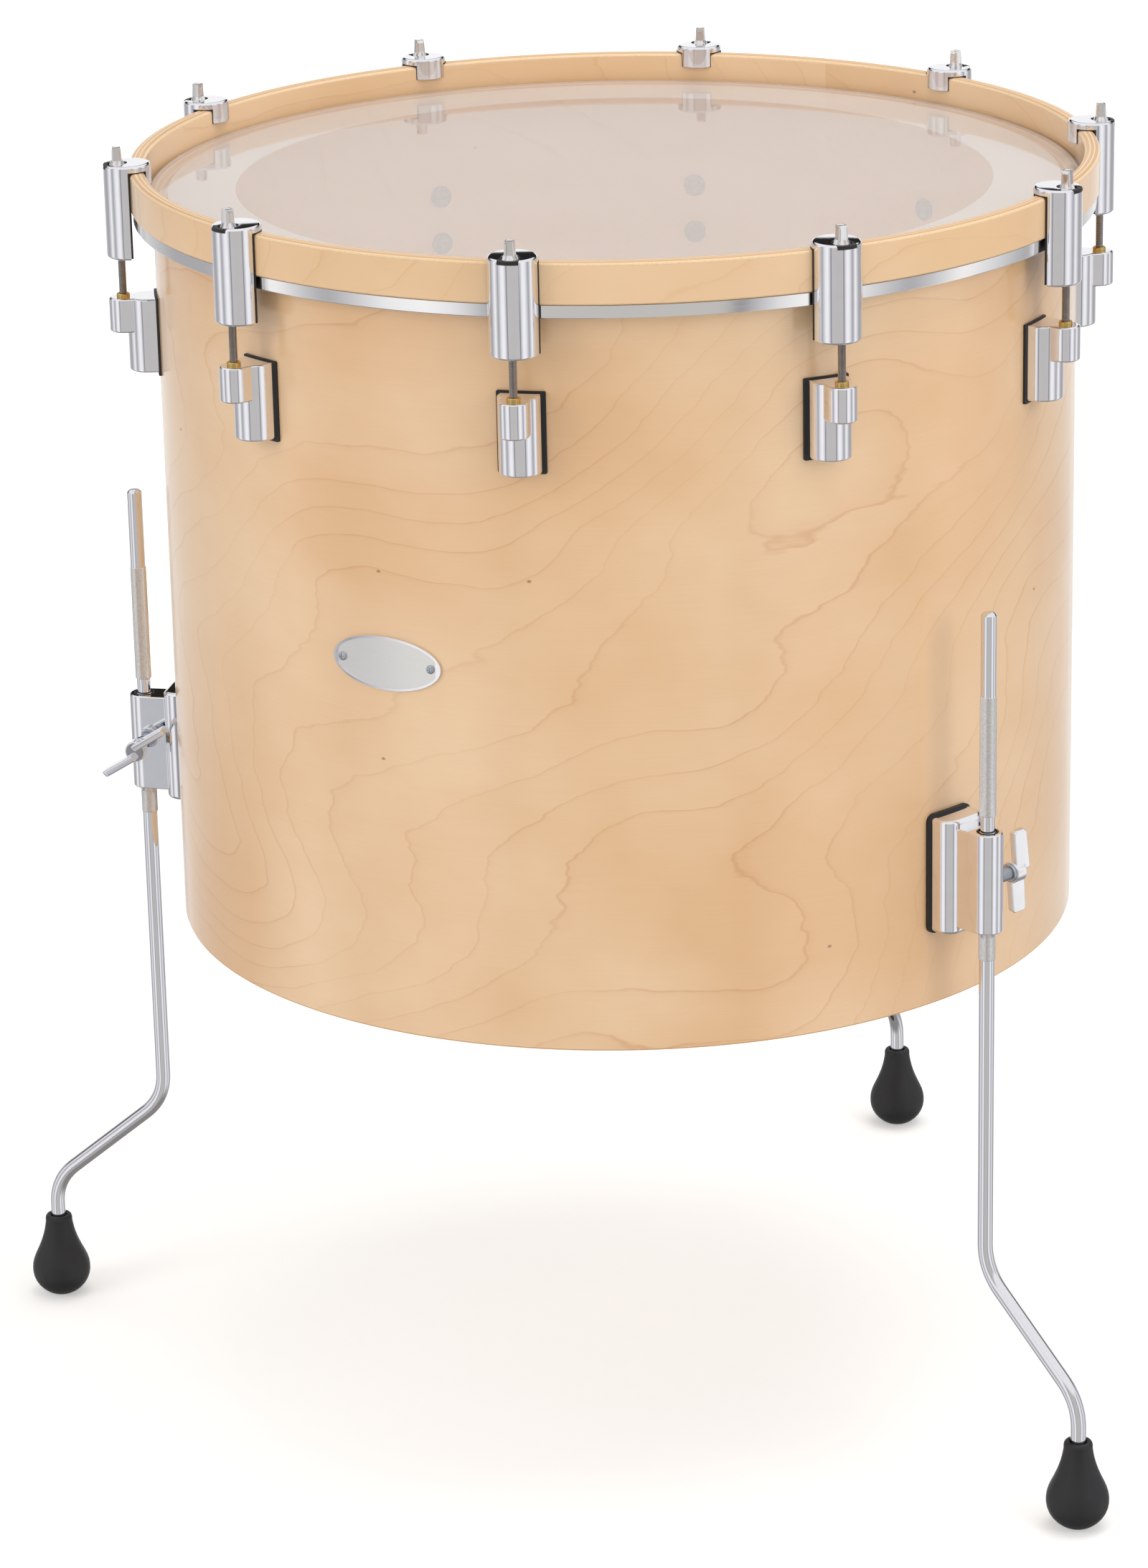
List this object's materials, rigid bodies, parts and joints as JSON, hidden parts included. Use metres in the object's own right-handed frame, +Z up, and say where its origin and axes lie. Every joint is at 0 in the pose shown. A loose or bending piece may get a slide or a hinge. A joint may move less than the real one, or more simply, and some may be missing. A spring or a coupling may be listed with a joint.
{
  "type": "floor tom",
  "caption": "Wooden floor tom with an open bottom, a single head under a wooden hoop with claws and key rods, and bent legs in clamps.",
  "frame": {"origin": "the floor under the middle of the part's bounding box", "axes": "+Z up along the drum's axis, -Y towards the badge plate at the front, +X to the right seen from the front"},
  "size_m": [0.7782, 0.702, 0.7989],
  "materials": {
    "maple": "satin lacquer",
    "hoop_maple": "gloss lacquer",
    "aluminium": "satin",
    "film": "hazy translucent",
    "underlay": "hazy translucent",
    "chrome": "polished",
    "chrome_rod": "polished, with two knurled lengths",
    "steel": "plated, threaded",
    "rubber": "matt"
  },
  "bodies": {
    "drum_shell": {"shell": "maple", "badge_plate": "chrome", "lug_01": "chrome", "lug_02": "chrome", "lug_03": "chrome", "lug_04": "chrome", "lug_05": "chrome", "lug_06": "chrome", "lug_07": "chrome", "lug_08": "chrome", "lug_09": "chrome", "lug_10": "chrome", "bracket_gasket_1": "rubber", "leg_bracket_1": "chrome", "bracket_gasket_2": "rubber", "leg_bracket_2": "chrome", "bracket_gasket_3": "rubber", "leg_bracket_3": "chrome"},
    "drum_head": {"drumhead_film": "film", "drumhead_skirt": "film", "underlay_ring": "underlay", "flesh_hoop": "aluminium", "counterhoop": "hoop_maple", "claw_01": "chrome", "claw_02": "chrome", "claw_03": "chrome", "claw_04": "chrome", "claw_05": "chrome", "claw_06": "chrome", "claw_07": "chrome", "claw_08": "chrome", "claw_09": "chrome", "claw_10": "chrome"},
    "key_rod_01": {"tension_rod_01": "steel"},
    "key_rod_02": {"tension_rod_02": "steel"},
    "key_rod_03": {"tension_rod_03": "steel"},
    "key_rod_04": {"tension_rod_04": "steel"},
    "key_rod_05": {"tension_rod_05": "steel"},
    "key_rod_06": {"tension_rod_06": "steel"},
    "key_rod_07": {"tension_rod_07": "steel"},
    "key_rod_08": {"tension_rod_08": "steel"},
    "key_rod_09": {"tension_rod_09": "steel"},
    "key_rod_10": {"tension_rod_10": "steel"},
    "leg_bush_1": {"clamp_bush_1": "rubber"},
    "leg_rod_1": {"leg_1": "chrome_rod", "foot_1": "rubber"},
    "wing_1": {"wing_bolt_1": "chrome"},
    "leg_bush_2": {"clamp_bush_2": "rubber"},
    "leg_rod_2": {"leg_2": "chrome_rod", "foot_2": "rubber"},
    "wing_2": {"wing_bolt_2": "chrome"},
    "leg_bush_3": {"clamp_bush_3": "rubber"},
    "leg_rod_3": {"leg_3": "chrome_rod", "foot_3": "rubber"},
    "wing_3": {"wing_bolt_3": "chrome"}
  },
  "joints": [
    {"name": "head_lift", "type": "slide", "parent": "drum_shell", "child": "drum_head", "axis": [0, 0, 1], "range_m": [0, 0.06]},
    {"name": "rod_turn_01", "type": "hinge", "parent": "drum_head", "child": "key_rod_01", "pos_m": [0.09255, -0.34208, 0.75], "axis": [0, 0, 1], "continuous": true},
    {"name": "rod_turn_02", "type": "hinge", "parent": "drum_head", "child": "key_rod_02", "pos_m": [0.2423, -0.23328, 0.75], "axis": [0, 0, 1], "continuous": true},
    {"name": "rod_turn_03", "type": "hinge", "parent": "drum_head", "child": "key_rod_03", "pos_m": [0.2995, -0.05724, 0.75], "axis": [0, 0, 1], "continuous": true},
    {"name": "rod_turn_04", "type": "hinge", "parent": "drum_head", "child": "key_rod_04", "pos_m": [0.2423, 0.1188, 0.75], "axis": [0, 0, 1], "continuous": true},
    {"name": "rod_turn_05", "type": "hinge", "parent": "drum_head", "child": "key_rod_05", "pos_m": [0.09255, 0.2276, 0.75], "axis": [0, 0, 1], "continuous": true},
    {"name": "rod_turn_06", "type": "hinge", "parent": "drum_head", "child": "key_rod_06", "pos_m": [-0.09255, 0.2276, 0.75], "axis": [0, 0, 1], "continuous": true},
    {"name": "rod_turn_07", "type": "hinge", "parent": "drum_head", "child": "key_rod_07", "pos_m": [-0.2423, 0.1188, 0.75], "axis": [0, 0, 1], "continuous": true},
    {"name": "rod_turn_08", "type": "hinge", "parent": "drum_head", "child": "key_rod_08", "pos_m": [-0.2995, -0.05724, 0.75], "axis": [0, 0, 1], "continuous": true},
    {"name": "rod_turn_09", "type": "hinge", "parent": "drum_head", "child": "key_rod_09", "pos_m": [-0.2423, -0.23328, 0.75], "axis": [0, 0, 1], "continuous": true},
    {"name": "rod_turn_10", "type": "hinge", "parent": "drum_head", "child": "key_rod_10", "pos_m": [-0.09255, -0.34208, 0.75], "axis": [0, 0, 1], "continuous": true},
    {"name": "leg_swivel_1", "type": "hinge", "parent": "drum_shell", "child": "leg_bush_1", "pos_m": [0.29654, -0.15359, 0.42], "axis": [0, 0, 1], "continuous": true},
    {"name": "leg_height_1", "type": "slide", "parent": "leg_bush_1", "child": "leg_rod_1", "axis": [0, 0, 1], "range_m": [-0.12, 0.16]},
    {"name": "wing_turn_1", "type": "hinge", "parent": "drum_shell", "child": "wing_1", "pos_m": [0.29654, -0.15359, 0.3931], "axis": [0.309, 0.9511, 0], "continuous": true},
    {"name": "leg_swivel_2", "type": "hinge", "parent": "drum_shell", "child": "leg_bush_2", "pos_m": [0, 0.25456, 0.42], "axis": [0, 0, 1], "continuous": true},
    {"name": "leg_height_2", "type": "slide", "parent": "leg_bush_2", "child": "leg_rod_2", "axis": [0, 0, 1], "range_m": [-0.12, 0.16]},
    {"name": "wing_turn_2", "type": "hinge", "parent": "drum_shell", "child": "wing_2", "pos_m": [0, 0.25456, 0.3931], "axis": [-1, 0, 0], "continuous": true},
    {"name": "leg_swivel_3", "type": "hinge", "parent": "drum_shell", "child": "leg_bush_3", "pos_m": [-0.29654, -0.15359, 0.42], "axis": [0, 0, 1], "continuous": true},
    {"name": "leg_height_3", "type": "slide", "parent": "leg_bush_3", "child": "leg_rod_3", "axis": [0, 0, 1], "range_m": [-0.12, 0.16]},
    {"name": "wing_turn_3", "type": "hinge", "parent": "drum_shell", "child": "wing_3", "pos_m": [-0.29654, -0.15359, 0.3931], "axis": [0.309, -0.9511, 0], "continuous": true}
  ]
}
